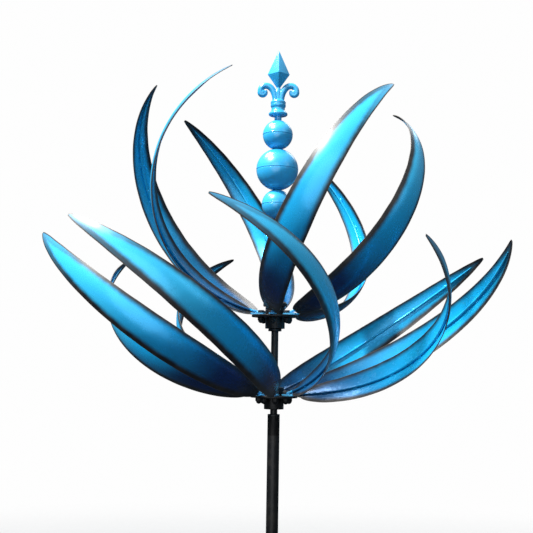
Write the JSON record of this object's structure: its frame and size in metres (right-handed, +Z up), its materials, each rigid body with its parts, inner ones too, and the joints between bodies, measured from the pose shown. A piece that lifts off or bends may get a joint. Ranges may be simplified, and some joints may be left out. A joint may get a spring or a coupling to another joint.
{
  "type": "kinetic wind sculpture",
  "caption": "Garden wind spinner: two counter-rotating rotors of curved sickle leaves on a fixed axle, topped by stacked balls and a fleur-de-lis finial, on a sectional pole with a ground fork.",
  "frame": {"origin": "on the pole axis at ground level, where the centre prong of the fork enters the soil", "axes": "+Z up along the pole; +X to the viewer's right and +Y away from the viewer of the front side"},
  "size_m": [0.6076, 0.5937, 1.6494],
  "materials": {
    "candy_blue": "glossy translucent blue over steel, burnished black along the edges",
    "sky_gloss": "smooth gloss light blue",
    "black_paint": "semi-gloss black powder coat",
    "dark_zinc": "dark zinc plate",
    "bright_steel": "ground steel"
  },
  "bodies": {
    "column": {"ground_fork": "black_paint", "fork_clamp_screw": "dark_zinc", "lower_pole": "black_paint", "pole_coupler": "black_paint", "coupler_screws": "dark_zinc", "upper_pole": "black_paint", "pole_plug": "black_paint", "axle": "bright_steel", "lower_spacer": "black_paint", "inner_races": "bright_steel", "bearing_sleeves": "bright_steel", "middle_spacer": "black_paint", "stop_collar": "black_paint", "rain_cap": "black_paint", "riser_tube": "black_paint", "bottom_ball_lower_half": "sky_gloss", "bottom_ball_upper_half": "sky_gloss", "middle_ball_lower_half": "sky_gloss", "middle_ball_upper_half": "sky_gloss", "top_ball_lower_half": "sky_gloss", "top_ball_upper_half": "sky_gloss", "finial": "sky_gloss"},
    "lower_rotor": {"lower_hub_plate": "black_paint", "lower_hub_housing": "black_paint", "lower_outer_races": "bright_steel", "lower_bolts": "dark_zinc", "lower_nuts": "black_paint", "lower_leaf_1": "candy_blue", "lower_leaf_2": "candy_blue", "lower_leaf_3": "candy_blue", "lower_leaf_4": "candy_blue", "lower_leaf_5": "candy_blue", "lower_leaf_6": "candy_blue", "lower_leaf_7": "candy_blue", "lower_leaf_8": "candy_blue", "lower_spine_1": "candy_blue", "lower_spine_2": "candy_blue", "lower_spine_3": "candy_blue", "lower_spine_4": "candy_blue", "lower_spine_5": "candy_blue", "lower_spine_6": "candy_blue", "lower_spine_7": "candy_blue", "lower_spine_8": "candy_blue"},
    "upper_rotor": {"upper_hub_plate": "black_paint", "upper_hub_housing": "black_paint", "upper_outer_races": "bright_steel", "upper_bolts": "dark_zinc", "upper_nuts": "black_paint", "upper_leaf_1": "candy_blue", "upper_leaf_2": "candy_blue", "upper_leaf_3": "candy_blue", "upper_leaf_4": "candy_blue", "upper_leaf_5": "candy_blue", "upper_leaf_6": "candy_blue", "upper_spine_1": "candy_blue", "upper_spine_2": "candy_blue", "upper_spine_3": "candy_blue", "upper_spine_4": "candy_blue", "upper_spine_5": "candy_blue", "upper_spine_6": "candy_blue"}
  },
  "joints": [
    {"name": "lower_rotor_spin", "type": "hinge", "parent": "column", "child": "lower_rotor", "pos_m": [0, 0, 0.95], "axis": [0, 0, 1], "continuous": true},
    {"name": "upper_rotor_spin", "type": "hinge", "parent": "column", "child": "upper_rotor", "pos_m": [0, 0, 1.056], "axis": [0, 0, 1], "continuous": true}
  ]
}
